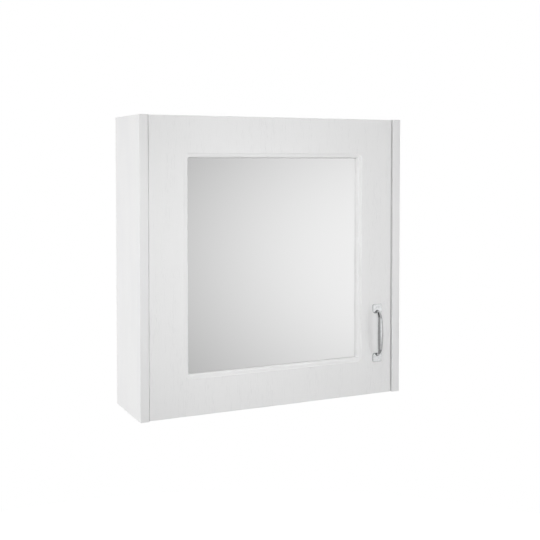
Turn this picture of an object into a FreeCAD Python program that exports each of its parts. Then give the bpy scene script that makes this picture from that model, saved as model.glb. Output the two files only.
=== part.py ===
import FreeCAD
import Part

import math
import os

from FreeCAD import Vector

# Mirrored wall cabinet: a white board carcass with two shelves, and one inset framed
# mirror door on two concealed hinges at its left side. Sizes are in millimetres.
# The frame has +X to the right, -Y out of the front and +Z up. Its origin lies on the
# wall, midway between the two screw holes of the hanging rail.

# Carcass boards
cabinet_width = 595.0
cabinet_height = 600.0
cabinet_depth = 162.0
side_thickness = 18.0
deck_thickness = 18.0
shelf_thickness = 16.0
back_thickness = 3.0
board_arris = 0.8
groove_depth = 6.0
groove_play = 0.1
shelf_setback = 10.0
shelf_end_gap = 1.0
shelf_back_gap = 1.0

# Hanging rail and its wall screw holes
rail_thickness = 15.0
rail_height = 80.0
wall_hole_radius = 3.0
wall_hole_spacing = 400.0

# Door board and its gaps to the carcass
door_thickness = 18.0
door_recess = 3.0
hinge_gap = 1.5
handle_gap = 3.0
end_reveal = 0.5
door_front_arris = 1.5
door_back_arris = 1.5

# Moulded window, mirror and backing
stile_face = 74.0
quirk_depth = 1.2
quirk_ledge = 1.5
moulding_radius = 7.5
window_corner = 2.7
mirror_thickness = 4.0
backing_thickness = 3.0
rebate_lap = 8.0
rebate_corner = 5.0
rebate_play = 0.5
clip_length = 22.0
clip_width = 10.0
clip_thickness = 1.6
clip_lap = 8.0
clip_screw_radius = 1.4
clip_screw_length = 9.0
clip_screw_head_radius = 2.8
clip_screw_head_height = 1.4

# Pull handle
handle_inset = 35.5
handle_height = 134.0
handle_screw_spacing = 96.0
handle_foot_width = 23.5
handle_foot_height = 20.0
handle_foot_thickness = 3.0
handle_foot_outer_corner = 3.0
handle_foot_inner_corner = 6.0
handle_foot_arris = 1.0
handle_foot_lip = 4.7
bow_width = 13.0
bow_root_width = 6.5
bow_thickness = 5.6
bow_reach = 11.1
bow_bend = 18.0
bow_lean = 5.0
handle_screw_radius = 1.95
handle_screw_play = 0.05
handle_hole_play = 0.3
handle_thread_depth = 5.0
handle_screw_engagement = 4.0
handle_screw_head_radius = 4.0
handle_screw_head_height = 2.2

# Hinges: height from the cabinet's ends, and the pivot's place in the door
hinge_end_distance = 100.0
pivot_to_face = 6.2
swing_clearance = 0.3
pin_radius = 1.5
pin_play = 0.05

# Hinge cup
cup_radius = 17.4
cup_play = 0.1
cup_wall = 0.7
cup_floor = 0.8
cup_floor_to_pivot = 2.6
pivot_to_cup_axis = 13.0
cup_flange_thickness = 1.0
cup_flange_radius = 19.0
cup_flange_arris = 0.4
cup_flange_to_edge = 4.5
cup_ear_radius = 5.0
cup_screw_spacing = 48.0
cup_screw_offset = 6.0
cup_screw_radius = 1.7
cup_screw_length = 11.0
cup_screw_head_radius = 3.5
cup_screw_head_height = 1.5
boss_length = 3.6
boss_half_width = 2.6

# Hinge claw, a bent strap with an eye
claw_width = 10.0
claw_strap = 3.2
claw_eye_radius = 2.3
claw_drop = 2.1
claw_reach = 14.8
claw_bend = 2.0
claw_side_play = 0.15

# Hinge arm, a cranked channel
arm_wall = 1.2
arm_nose_clearance = 3.0
arm_nose_length = 6.5
arm_nose_lip = 1.1
arm_crank_end = 24.0
arm_end = 62.0
arm_skirt = 8.0
rivet_radius = 1.4
rivet_head_radius = 2.4
rivet_head_height = 0.7

# Hinge plate on the side board
plate_thickness = 1.8
plate_wing_width = 12.0
plate_wing_end = 7.0
plate_wing_arris = 0.6
plate_screw_line = 37.0
plate_screw_spacing = 32.0
plate_screw_radius = 2.45
plate_screw_length = 12.0
plate_screw_head_radius = 3.9
plate_screw_head_height = 1.3
saddle_start = 26.0
saddle_height = 9.6
saddle_play = 0.1
clamp_screw_line = 54.0
adjuster_line = 32.0
clamp_screw_radius = 2.0
clamp_screw_depth = 6.0
clamp_screw_head_radius = 4.2
clamp_screw_head_height = 2.2
adjuster_stand = 0.8

# Small fittings of the carcass
fitting_play = 0.05
hole_end_play = 0.5
dowel_radius = 4.0
dowel_in_side = 10.0
dowel_in_deck = 20.0
dowel_edge_distance = 26.0
cam_radius = 7.4
cam_height = 12.6
cam_distance = 34.0
cam_hole_play = 0.1
cam_slot_play = 0.3
cam_bolt_radius = 3.0
cam_bolt_head_radius = 3.4
cam_bolt_head_length = 3.0
cam_bolt_thread_radius = 2.5
cam_bolt_thread_length = 11.0
cam_bolt_to_axis = 2.0
peg_radius = 2.45
peg_in_side = 9.0
peg_rest_radius = 4.0
peg_rest_length = 9.0
peg_rest_rise = 1.5
peg_row_inset = 30.0
peg_hole_pitch = 32.0
buffer_radius = 5.0
buffer_edge_distance = 25.0
buffer_air = 0.1

# Cross recess of a cam, as shares of its radius and of the cover over its mouth
recess_span_share = 1.2
recess_width_share = 0.24
recess_depth_share = 0.6

# Eased rims of screw heads and buffers, as a share of their height
rim_share = 0.3

match_tolerance = 1e-4

# Places worked out from the sizes above
inner_width = cabinet_width - 2 * side_thickness
inner_left = -inner_width / 2
inner_right = inner_width / 2
top_z = deck_thickness + rail_height / 2
base_z = top_z - cabinet_height
deck_top_z = top_z - deck_thickness
deck_base_z = base_z + deck_thickness
back_rear = -rail_thickness
back_front = back_rear - back_thickness

door_left = inner_left + hinge_gap
door_right = inner_right - handle_gap
door_base = base_z + end_reveal
door_top = top_z - end_reveal
door_front = -cabinet_depth + door_recess
door_back = door_front + door_thickness
door_width = door_right - door_left
door_height = door_top - door_base
door_centre_x = (door_left + door_right) / 2
door_centre_z = (door_base + door_top) / 2

moulding_width = quirk_ledge + moulding_radius
window_width = door_width - 2 * (stile_face + moulding_width)
window_height = door_height - 2 * (stile_face + moulding_width)
rebate_width = window_width + 2 * rebate_lap
rebate_height = window_height + 2 * rebate_lap
rebate_depth = mirror_thickness + backing_thickness

# The pivot lies where the door's rounded front edge just clears the side board as it
# turns, and the decks stand back as far as the door's back edge then needs.
pivot_depth = door_thickness - pivot_to_face
edge_room = hinge_gap - swing_clearance
face_run = pivot_to_face - door_front_arris
pivot_inset = door_front_arris + (face_run ** 2 - edge_room ** 2) / (2 * edge_room)
back_sweep = door_back_arris + math.hypot(pivot_inset - door_back_arris, pivot_depth - door_back_arris)
deck_front = door_back + back_sweep - pivot_depth + swing_clearance

# Hinge places, measured from the side board's inner face and the door's back face
pivot_u = hinge_gap + pivot_inset
pivot_v = -pivot_depth
cup_axis_u = pivot_u + pivot_to_cup_axis
cup_floor_v = pivot_v - cup_floor_to_pivot
cup_hole_depth = pivot_depth + cup_floor_to_pivot + cup_floor + cup_play
claw_left_u = pivot_u + claw_reach
claw_right_u = claw_left_u + claw_strap
nose_left_u = claw_left_u - arm_nose_lip
nose_right_u = claw_right_u + saddle_play + arm_wall
nose_end_v = arm_nose_clearance + arm_nose_length
rivet_u = (claw_left_u + claw_right_u) / 2
rivet_v = arm_nose_clearance + arm_nose_length / 2
channel_inner = claw_width / 2 + claw_side_play
channel_outer = channel_inner + arm_wall
saddle_top_u = plate_thickness + saddle_height
arm_top_u = saddle_top_u + arm_wall
hinge_heights = (top_z - hinge_end_distance, base_z + hinge_end_distance)

shelf_space = (deck_top_z - deck_base_z - 2 * shelf_thickness) / 3
lower_shelf_z = deck_base_z + shelf_space
upper_shelf_z = lower_shelf_z + shelf_thickness + shelf_space
shelf_front = deck_front + shelf_setback
shelf_rear = back_front - shelf_back_gap

handle_x = door_right - handle_inset
handle_z = base_z + handle_height
handle_foot_face = door_front - handle_foot_thickness


def box(x_range, y_range, z_range):
    """A block between two limits along each axis, given in any order."""
    low = Vector(min(x_range), min(y_range), min(z_range))
    size = Vector(max(x_range), max(y_range), max(z_range)) - low
    return Part.makeBox(size.x, size.y, size.z, low)


def rod(start, end, radius):
    """A round bar from one point to another."""
    span = end - start
    return Part.makeCylinder(radius, span.Length, start, span)


def edges_in_plane(shape, axis, value):
    """The edges that lie wholly in the plane where the axis has that value."""
    picked = []
    for edge in shape.Edges:
        low = getattr(edge.BoundBox, axis + "Min")
        high = getattr(edge.BoundBox, axis + "Max")
        if abs(low - value) < match_tolerance and abs(high - value) < match_tolerance:
            picked.append(edge)
    return picked


def edges_along(block, axis):
    """The edges of a block that run along one axis."""
    picked = []
    for edge in block.Edges:
        way = edge.tangentAt(edge.FirstParameter)
        if abs(way.dot(axis)) > 1 - match_tolerance:
            picked.append(edge)
    return picked


def rounded_outline(centre, width, height, radius):
    """A rectangle with round corners, across X and up Z, as a wire."""
    half_x = width / 2
    half_z = height / 2
    bow = radius * (1 - math.sqrt(0.5))
    edges = []
    for quarter in range(4):
        sign_x = (1, -1, -1, 1)[quarter]
        sign_z = (1, 1, -1, -1)[quarter]
        beside = centre + Vector(sign_x * half_x, 0, sign_z * (half_z - radius))
        middle = centre + Vector(sign_x * (half_x - bow), 0, sign_z * (half_z - bow))
        above = centre + Vector(sign_x * (half_x - radius), 0, sign_z * half_z)
        edges.append(Part.Arc(beside, middle, above).toShape())
    for sign in (1, -1):
        run = half_x - radius
        climb = half_z - radius
        level = Vector(0, 0, sign * half_z)
        upright = Vector(sign * half_x, 0, 0)
        along_x = Vector(run, 0, 0)
        along_z = Vector(0, 0, climb)
        edges.append(Part.makeLine(centre + level - along_x, centre + level + along_x))
        edges.append(Part.makeLine(centre + upright - along_z, centre + upright + along_z))
    return Part.Wire(Part.__sortEdges__(edges))


def rounded_slab(centre, width, height, radius, depth):
    """A slab with round corners that goes back along Y by its depth."""
    outline = rounded_outline(centre, width, height, radius)
    return Part.Face(outline).extrude(Vector(0, depth, 0))


def plan_prism(points, z_range):
    """An upright prism over an outline of (u, v) points in the hinge's plan."""
    corners = [Vector(u, v, min(z_range)) for u, v in points]
    outline = Part.makePolygon(corners + corners[:1])
    return Part.Face(outline).extrude(Vector(0, 0, max(z_range) - min(z_range)))


def edges_over(shape, u, v):
    """The edges whose middles lie over one point of the hinge's plan."""
    picked = []
    for edge in shape.Edges:
        middle = edge.CenterOfMass
        if math.hypot(middle.x - u, middle.y - v) < match_tolerance:
            picked.append(edge)
    return picked


def stood(shape, seat, outward):
    """A piece made upright at the origin, moved to its seat and turned to face outward."""
    moved = shape.copy()
    moved.Placement = FreeCAD.Placement(seat, FreeCAD.Rotation(Vector(0, 0, 1), outward))
    return moved


def cross_recess(radius, cover):
    """The cross that a driver turns, to be cut from the top of an upright cover."""
    length = radius * recess_span_share
    width = radius * recess_width_share
    depth = cover * recess_depth_share
    bars = []
    for across_x, across_y in ((length, width), (width, length)):
        corner = Vector(-across_x / 2, -across_y / 2, cover - depth)
        bars.append(Part.makeBox(across_x, across_y, depth, corner))
    return bars[0].fuse(bars[1])


def pan_screw(seat, outward, shank_radius, length, head_radius, head_height):
    """A screw whose flat head sits on the seat and faces outward."""
    head = Part.makeCylinder(head_radius, head_height)
    head = head.makeChamfer(head_height * rim_share, edges_in_plane(head, "Z", head_height))
    shank = Part.makeCylinder(shank_radius, length, Vector(0, 0, -length))
    return stood(head.fuse(shank).removeSplitter(), seat, outward)


def save(name, *solids):
    """Write one piece, or a group of like pieces, under its name."""
    shape = solids[0] if len(solids) == 1 else Part.makeCompound(solids)
    shape.exportStep(os.path.join("parts", name + ".step"))


def deck_levels():
    """The inner faces of the top and bottom boards, with the way to their outer faces."""
    return ((deck_top_z, 1), (deck_base_z, -1))


def dowel_joints():
    """Each dowel's side, its height and depth in the carcass, all at the side's inner face."""
    joints = []
    for side in (-1, 1):
        for level, outward in deck_levels():
            for y in (deck_front + dowel_edge_distance, -dowel_edge_distance):
                joints.append((side, y, level + outward * deck_thickness / 2))
        for share in (1, 3):
            joints.append((side, -rail_thickness / 2, deck_top_z - rail_height * share / 4))
    return joints


def dowel(joint, radius, end_play):
    """A dowel, or with some end play the hole for one."""
    side, y, z = joint
    face = side * inner_width / 2
    start = Vector(face + side * (dowel_in_side + end_play), y, z)
    end = Vector(face - side * (dowel_in_deck + end_play), y, z)
    return rod(start, end, radius)


def cam_joints():
    """Each cam joint's side, deck level and the way to that deck's outer face."""
    return [(side, level, outward) for side in (-1, 1) for level, outward in deck_levels()]


def cam_middle(level, outward):
    """The depth and height of the bolts in one deck."""
    return deck_front / 2, level + outward * deck_thickness / 2


def cam_bolt_holes(joint):
    """The threaded hole in the side and the clear hole in the deck's end."""
    side, level, outward = joint
    y, z = cam_middle(level, outward)
    face = Vector(side * inner_width / 2, y, z)
    out = Vector(side, 0, 0)
    thread_end = face + out * (cam_bolt_thread_length + hole_end_play)
    thread = rod(face, thread_end, cam_bolt_thread_radius + fitting_play)
    clear = rod(face - out * cam_distance, face, cam_bolt_head_radius + cam_slot_play)
    return thread, clear


def cam_bolt(joint):
    """A bolt screwed into the side, with its head in the cam."""
    side, level, outward = joint
    y, z = cam_middle(level, outward)
    face = Vector(side * inner_width / 2, y, z)
    out = Vector(side, 0, 0)
    tip = face - out * (cam_distance - cam_bolt_to_axis)
    neck = tip + out * cam_bolt_head_length
    thread = rod(face, face + out * cam_bolt_thread_length, cam_bolt_thread_radius)
    shank = rod(neck, face, cam_bolt_radius)
    head = rod(tip, neck, cam_bolt_head_radius)
    return thread.fuse([shank, head]).removeSplitter()


def cam_blank(joint, radius, height):
    """A round plug sunk into the deck's outer face on the cam's axis."""
    side, level, outward = joint
    y = cam_middle(level, outward)[0]
    x = side * (inner_width / 2 - cam_distance)
    outer = Vector(x, y, level + outward * deck_thickness)
    return rod(outer - Vector(0, 0, outward * height), outer, radius)


def cam_lock(joint):
    """A cam disc with the mouth that takes the bolt's head and a cross to turn it."""
    side, level, outward = joint
    y, z = cam_middle(level, outward)
    x = side * (inner_width / 2 - cam_distance)
    half = cam_bolt_head_radius + cam_slot_play
    mouth = box((x, x + side * 2 * cam_radius), (y - half, y + half), (z - half, z + half))
    crown = deck_thickness / 2 - half
    base = Vector(x, y, z + outward * half)
    cross = stood(cross_recess(cam_radius, crown), base, Vector(0, 0, outward))
    return cam_blank(joint, cam_radius, cam_height).cut([mouth, cross]).removeSplitter()


def shelf_levels():
    """The undersides of the two shelves."""
    return (lower_shelf_z, upper_shelf_z)


def peg_rows():
    """The depths of the front and rear rows of shelf pegs."""
    return (shelf_front + peg_row_inset, shelf_rear - peg_row_inset)


def peg_hole(side, y, z):
    """A blind peg hole in a side board."""
    face = Vector(side * inner_width / 2, y, z)
    end = face + Vector(side * (peg_in_side + hole_end_play), 0, 0)
    return rod(face, end, peg_radius + fitting_play)


def shelf_pin(side, y, shelf_z):
    """A peg with a flat-topped rest for the shelf."""
    face = Vector(side * inner_width / 2, y, shelf_z - peg_rest_rise)
    out = Vector(side, 0, 0)
    peg = rod(face, face + out * peg_in_side, peg_radius)
    rest = rod(face - out * peg_rest_length, face, peg_rest_radius)
    x_range = (face.x, face.x - side * peg_rest_length)
    y_range = (y - peg_rest_radius, y + peg_rest_radius)
    above = box(x_range, y_range, (shelf_z, shelf_z + peg_rest_radius))
    return peg.fuse(rest.cut(above)).removeSplitter()


def back_groove(x_range, z_range):
    """The groove that the back board slides in."""
    return box(x_range, (back_front - groove_play, back_rear + groove_play), z_range)


def plate_screw_seats(hinge_z):
    """The seats of a hinge plate's two screws on the side board's inner face."""
    y = door_back + plate_screw_line
    rise = plate_screw_spacing / 2
    return [Vector(inner_left, y, hinge_z + rise), Vector(inner_left, y, hinge_z - rise)]


def side_panel(side):
    """A side board, -1 for the left one and 1 for the right one."""
    inner = side * inner_width / 2
    outer = side * cabinet_width / 2
    board = box((inner, outer), (-cabinet_depth, 0), (base_z, top_z))
    board = board.makeFillet(board_arris, edges_in_plane(board, "Y", -cabinet_depth))
    cuts = [back_groove((inner, inner + side * groove_depth), (base_z, top_z))]
    for joint in dowel_joints():
        if joint[0] == side:
            cuts.append(dowel(joint, dowel_radius + fitting_play, hole_end_play))
    for joint in cam_joints():
        if joint[0] == side:
            cuts.append(cam_bolt_holes(joint)[0])
    for shelf_z in shelf_levels():
        for step in (-1, 0, 1):
            for y in peg_rows():
                cuts.append(peg_hole(side, y, shelf_z - peg_rest_rise + step * peg_hole_pitch))
    if side < 0:
        for hinge_z in hinge_heights:
            for seat in plate_screw_seats(hinge_z):
                end = seat - Vector(plate_screw_length + hole_end_play, 0, 0)
                cuts.append(rod(seat, end, plate_screw_radius + fitting_play))
    return board.cut(cuts)


def deck(level, outward):
    """The top board (outward 1) or the bottom board (outward -1)."""
    outer = level + outward * deck_thickness
    board = box((inner_left, inner_right), (deck_front, 0), (level, outer))
    cuts = [back_groove((inner_left, inner_right), (level, level + outward * groove_depth))]
    for joint in dowel_joints():
        cuts.append(dowel(joint, dowel_radius + fitting_play, hole_end_play))
    for joint in cam_joints():
        if joint[2] == outward:
            cuts.append(cam_bolt_holes(joint)[1])
            cuts.append(cam_blank(joint, cam_radius + cam_hole_play, cam_height + cam_hole_play))
    return board.cut(cuts)


def wall_holes(front, rear):
    """The two wall screw holes between two depths."""
    holes = []
    for x in (-wall_hole_spacing / 2, wall_hole_spacing / 2):
        holes.append(rod(Vector(x, front, 0), Vector(x, rear, 0), wall_hole_radius))
    return holes


def back_panel():
    """The thin back board, held in grooves on all four sides."""
    lap = groove_depth - groove_play
    board = box(
        (inner_left - lap, inner_right + lap),
        (back_front, back_rear),
        (deck_base_z - lap, deck_top_z + lap),
    )
    return board.cut(wall_holes(back_front, back_rear))


def hanging_rail():
    """The rail behind the back board that carries the cabinet on the wall."""
    rail = box((inner_left, inner_right), (back_rear, 0), (deck_top_z - rail_height, deck_top_z))
    cuts = wall_holes(back_rear, 0)
    for joint in dowel_joints():
        cuts.append(dowel(joint, dowel_radius + fitting_play, hole_end_play))
    return rail.cut(cuts)


def shelf(shelf_z):
    """A loose shelf with an eased front edge."""
    board = box(
        (inner_left + shelf_end_gap, inner_right - shelf_end_gap),
        (shelf_front, shelf_rear),
        (shelf_z, shelf_z + shelf_thickness),
    )
    return board.makeFillet(board_arris, edges_in_plane(board, "Y", shelf_front))


def handle_screw_heights():
    """The heights of the two handle screws."""
    return (handle_z + handle_screw_spacing / 2, handle_z - handle_screw_spacing / 2)


def clip_places():
    """Each backing clip's place on the rebate's edge, and the way from there to the frame."""
    places = []
    for sign in (-1, 1):
        for share in (-1, 1):
            side_edge = Vector(door_centre_x + sign * rebate_width / 2, door_back, 0)
            side_edge.z = door_centre_z + share * rebate_height / 4
            places.append((side_edge, Vector(sign, 0, 0)))
            end_edge = Vector(0, door_back, door_centre_z + sign * rebate_height / 2)
            end_edge.x = door_centre_x + share * rebate_width / 4
            places.append((end_edge, Vector(0, 0, sign)))
    return places


def clip_screw_seat(place):
    """The seat of a clip's screw on the door's back."""
    edge, way = place
    return edge + way * (clip_length - clip_lap - clip_width / 2)


def backing_clip(place):
    """A turn clip that laps over the backing's edge."""
    edge, way = place
    middle = edge + way * (clip_length / 2 - clip_lap)
    width = clip_length if abs(way.x) > 0 else clip_width
    height = clip_width if abs(way.x) > 0 else clip_length
    corner = clip_width / 3
    clip = rounded_slab(middle, width, height, corner, clip_thickness)
    seat = clip_screw_seat(place)
    hole = rod(seat, seat + Vector(0, clip_thickness, 0), clip_screw_radius + fitting_play)
    return clip.cut(hole)


def cup_screw_seats():
    """The seats of a cup's two screws on the door's back, about the hinge's height."""
    u = cup_axis_u + cup_screw_offset
    return [Vector(u, 0, cup_screw_spacing / 2), Vector(u, 0, -cup_screw_spacing / 2)]


def hinge_origin(hinge_z):
    """Where the side board's inner face meets the plane of the door's back at a hinge."""
    return Vector(inner_left, door_back, hinge_z)


def door_frame():
    """The one-piece door board with its moulded window, rebate and drillings."""
    centre = Vector(door_centre_x, door_front, door_centre_z)
    board = box((door_left, door_right), (door_front, door_back), (door_base, door_top))
    board = board.makeFillet(door_front_arris, edges_in_plane(board, "Y", door_front))
    board = board.makeFillet(door_back_arris, edges_in_plane(board, "Y", door_back))
    pocket = rounded_slab(
        centre,
        window_width + 2 * moulding_width,
        window_height + 2 * moulding_width,
        window_corner + moulding_width,
        quirk_depth,
    )
    window = rounded_slab(centre, window_width, window_height, window_corner, door_thickness)
    board = board.cut([pocket, window])
    rim = []
    for edge in edges_in_plane(board, "Y", door_front + quirk_depth):
        offset = edge.CenterOfMass - centre
        within_x = abs(offset.x) < window_width / 2 + match_tolerance
        within_z = abs(offset.z) < window_height / 2 + match_tolerance
        if within_x and within_z:
            rim.append(edge)
    board = board.makeFillet(moulding_radius, rim)
    rebate_centre = centre + Vector(0, door_thickness - rebate_depth, 0)
    cuts = [rounded_slab(rebate_centre, rebate_width, rebate_height, rebate_corner, rebate_depth)]
    for hinge_z in hinge_heights:
        origin = hinge_origin(hinge_z)
        mouth = origin + Vector(cup_axis_u, 0, 0)
        cuts.append(rod(mouth, mouth - Vector(0, cup_hole_depth, 0), cup_radius + cup_play))
        for seat in cup_screw_seats():
            depth = cup_screw_length - cup_flange_thickness + hole_end_play
            start = origin + seat
            cuts.append(rod(start, start - Vector(0, depth, 0), cup_screw_radius + fitting_play))
    for z in handle_screw_heights():
        start = Vector(handle_x, door_front, z)
        end = Vector(handle_x, door_back, z)
        cuts.append(rod(start, end, handle_screw_radius + handle_hole_play))
    for place in clip_places():
        start = clip_screw_seat(place)
        depth = clip_screw_length - clip_thickness + hole_end_play
        cuts.append(rod(start, start - Vector(0, depth, 0), clip_screw_radius + fitting_play))
    return board.cut(cuts)


def mirror_glass():
    """The mirror pane in the rebate."""
    centre = Vector(door_centre_x, door_back - rebate_depth, door_centre_z)
    width = rebate_width - 2 * rebate_play
    height = rebate_height - 2 * rebate_play
    return rounded_slab(centre, width, height, rebate_corner, mirror_thickness)


def mirror_backing():
    """The board that closes the rebate behind the mirror, flush with the door's back."""
    centre = Vector(door_centre_x, door_back - backing_thickness, door_centre_z)
    width = rebate_width - 2 * rebate_play
    height = rebate_height - 2 * rebate_play
    return rounded_slab(centre, width, height, rebate_corner, backing_thickness)


def oval(centre, width, short_way):
    """The bow's section, long across X and as thick as the bow along its short way."""
    long_end = centre + Vector(width / 2, 0, 0)
    short_end = centre + short_way * bow_thickness / 2
    return Part.Wire(Part.Ellipse(long_end, short_end, centre).toShape())


def handle_bow():
    """A bar on splayed legs with an arched crown, oval in section and widest at its middle."""
    lean = math.radians(bow_lean)
    splay = math.asin(math.cos(lean) - bow_reach / bow_bend)
    half_turn = (splay + math.pi / 2 - lean) / 2
    half_span = handle_screw_spacing / 2
    half_chord = half_span - bow_bend * (math.cos(splay) - math.sin(lean))
    crown_reach = bow_reach + half_chord * math.tan(lean / 2)
    root_depth = handle_foot_thickness / 2

    def at(reach, height):
        return Vector(handle_x, handle_foot_face - reach, handle_z + height)

    legs = []
    for sign in (1, -1):
        root = at(-root_depth, sign * (half_span + root_depth * math.tan(splay)))
        foot = at(0, sign * half_span)
        middle_reach = bow_bend * (math.sin(half_turn) - math.sin(splay))
        drop = bow_bend * (math.cos(splay) - math.cos(half_turn))
        middle = at(middle_reach, sign * (half_span - drop))
        shoulder = at(bow_reach, sign * half_chord)
        legs.append((root, foot, middle, shoulder))
    top_root, top_foot, top_middle, top_shoulder = legs[0]
    base_root, base_foot, base_middle, base_shoulder = legs[1]
    crown = at(crown_reach, 0)
    path = Part.Wire([
        Part.makeLine(top_root, top_foot),
        Part.Arc(top_foot, top_middle, top_shoulder).toShape(),
        Part.Arc(top_shoulder, crown, base_shoulder).toShape(),
        Part.Arc(base_shoulder, base_middle, base_foot).toShape(),
        Part.makeLine(base_foot, base_root),
    ])
    sections = [
        oval(top_root, bow_root_width, Vector(0, -math.sin(splay), math.cos(splay))),
        oval(crown, bow_width, Vector(0, -1, 0)),
        oval(base_root, bow_root_width, Vector(0, -math.sin(splay), -math.cos(splay))),
    ]
    return path.makePipeShell(sections, True, False)


def handle_foot(screw_z, outward):
    """A square foot, with rounder corners at the end that the bow springs from."""
    inner = screw_z - outward * handle_foot_lip
    outer = inner + outward * handle_foot_height
    half = handle_foot_width / 2
    foot = box((handle_x - half, handle_x + half), (handle_foot_face, door_front), (inner, outer))
    for end, radius in ((inner, handle_foot_inner_corner), (outer, handle_foot_outer_corner)):
        corners = []
        for edge in edges_along(foot, Vector(0, 1, 0)):
            if abs(edge.CenterOfMass.z - end) < match_tolerance:
                corners.append(edge)
        foot = foot.makeFillet(radius, corners)
    return foot.makeFillet(handle_foot_arris, edges_in_plane(foot, "Y", handle_foot_face))


def pull_handle():
    """A cast bow pull with a square foot and a screw hole at each end."""
    feet = []
    holes = []
    for outward, screw_z in zip((1, -1), handle_screw_heights()):
        feet.append(handle_foot(screw_z, outward))
        mouth = Vector(handle_x, door_front, screw_z)
        end = mouth - Vector(0, handle_thread_depth, 0)
        holes.append(rod(mouth, end, handle_screw_radius + handle_screw_play))
    return handle_bow().fuse(feet).cut(holes).removeSplitter()


def door_buffer(z):
    """A soft puck on the door's back that meets a deck's front edge."""
    seat = Vector(door_right - buffer_edge_distance, door_back, z)
    height = deck_front - door_back - buffer_air
    puck = rod(seat, seat + Vector(0, height, 0), buffer_radius)
    return puck.makeChamfer(height * rim_share, edges_in_plane(puck, "Y", door_back + height))


def hinge_plate():
    """The wing plate on the side board with the saddle that carries the arm."""
    wing_half = plate_screw_spacing / 2 + plate_wing_end
    line = (plate_screw_line - plate_wing_width / 2, plate_screw_line + plate_wing_width / 2)
    wings = box((0, plate_thickness), line, (-wing_half, wing_half))
    wings = wings.makeFillet(plate_wing_width / 3, edges_along(wings, Vector(1, 0, 0)))
    wings = wings.makeFillet(plate_wing_arris, edges_in_plane(wings, "X", plate_thickness))
    half = channel_inner - saddle_play
    saddle = box((0, saddle_top_u), (saddle_start, arm_end), (-half, half))
    cuts = []
    for z in (plate_screw_spacing / 2, -plate_screw_spacing / 2):
        foot = Vector(0, plate_screw_line, z)
        cuts.append(rod(foot, foot + Vector(plate_thickness, 0, 0), plate_screw_radius + fitting_play))
    for line_v in (clamp_screw_line, adjuster_line):
        top = Vector(saddle_top_u, line_v, 0)
        bottom = top - Vector(clamp_screw_depth + hole_end_play, 0, 0)
        cuts.append(rod(top, bottom, clamp_screw_radius + fitting_play))
    return wings.fuse(saddle).cut(cuts).removeSplitter()


def hinge_arm():
    """The cranked channel from the plate's saddle to its nose over the cup."""
    skirt_u = arm_top_u - arm_skirt
    web = [
        (nose_right_u, arm_nose_clearance),
        (nose_right_u, nose_end_v),
        (arm_top_u, arm_crank_end),
        (arm_top_u, arm_end),
    ]
    skirt = [
        (skirt_u, arm_end),
        (skirt_u, arm_crank_end),
        (nose_left_u, nose_end_v - arm_nose_lip),
        (nose_left_u, arm_nose_clearance),
    ]
    arm = plan_prism(web + skirt, (-channel_outer, channel_outer))
    folds = []
    for start, end in zip(web, web[1:]):
        folds += edges_over(arm, (start[0] + end[0]) / 2, (start[1] + end[1]) / 2)
    arm = arm.makeFillet(arm_wall, folds)
    # The hollow keeps one wall thickness square to the slanted web.
    slope = math.atan2(nose_right_u - arm_top_u, arm_crank_end - nose_end_v)
    shift = arm_wall * math.tan(slope / 2)
    hollow_outline = [
        (nose_left_u, 0),
        (nose_right_u - arm_wall, 0),
        (nose_right_u - arm_wall, nose_end_v - shift),
        (arm_top_u - arm_wall, arm_crank_end - shift),
        (arm_top_u - arm_wall, arm_end),
        (0, arm_end),
        (0, 0),
    ]
    hollow = plan_prism(hollow_outline, (-channel_inner, channel_inner))
    rivet_top = Vector(rivet_u, rivet_v, channel_outer)
    rivet_base = Vector(rivet_u, rivet_v, -channel_outer)
    cuts = [hollow, rod(rivet_base, rivet_top, rivet_radius + fitting_play)]
    for line_v in (clamp_screw_line, adjuster_line):
        inside = Vector(saddle_top_u, line_v, 0)
        outside = Vector(arm_top_u, line_v, 0)
        cuts.append(rod(inside, outside, clamp_screw_radius + fitting_play))
    return arm.cut(cuts).removeSplitter()


def hinge_claw():
    """A bent strap whose eye turns on the pivot pin, held in the arm's nose."""
    top_v = nose_end_v - arm_wall
    low_v = pivot_v - claw_drop
    half = claw_width / 2
    outline = [
        (pivot_u, low_v),
        (claw_right_u, low_v),
        (claw_right_u, top_v),
        (claw_left_u, top_v),
        (claw_left_u, low_v + claw_strap),
        (pivot_u, low_v + claw_strap),
    ]
    strap = plan_prism(outline, (-half, half))
    strap = strap.makeFillet(claw_bend, edges_over(strap, claw_left_u, low_v + claw_strap))
    strap = strap.makeFillet(claw_bend + claw_strap, edges_over(strap, claw_right_u, low_v))
    low = Vector(pivot_u, pivot_v, -half)
    high = Vector(pivot_u, pivot_v, half)
    eye = rod(low, high, claw_eye_radius)
    bore = rod(low, high, pin_radius + pin_play)
    rivet_low = Vector(rivet_u, rivet_v, -half)
    rivet_high = Vector(rivet_u, rivet_v, half)
    rivet_hole = rod(rivet_low, rivet_high, rivet_radius + fitting_play)
    return strap.fuse(eye).cut([bore, rivet_hole]).removeSplitter()


def pin_half_length():
    """The pin reaches to the outer ends of the cup's two bosses."""
    return claw_width / 2 + 2 * claw_side_play + boss_length


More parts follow.
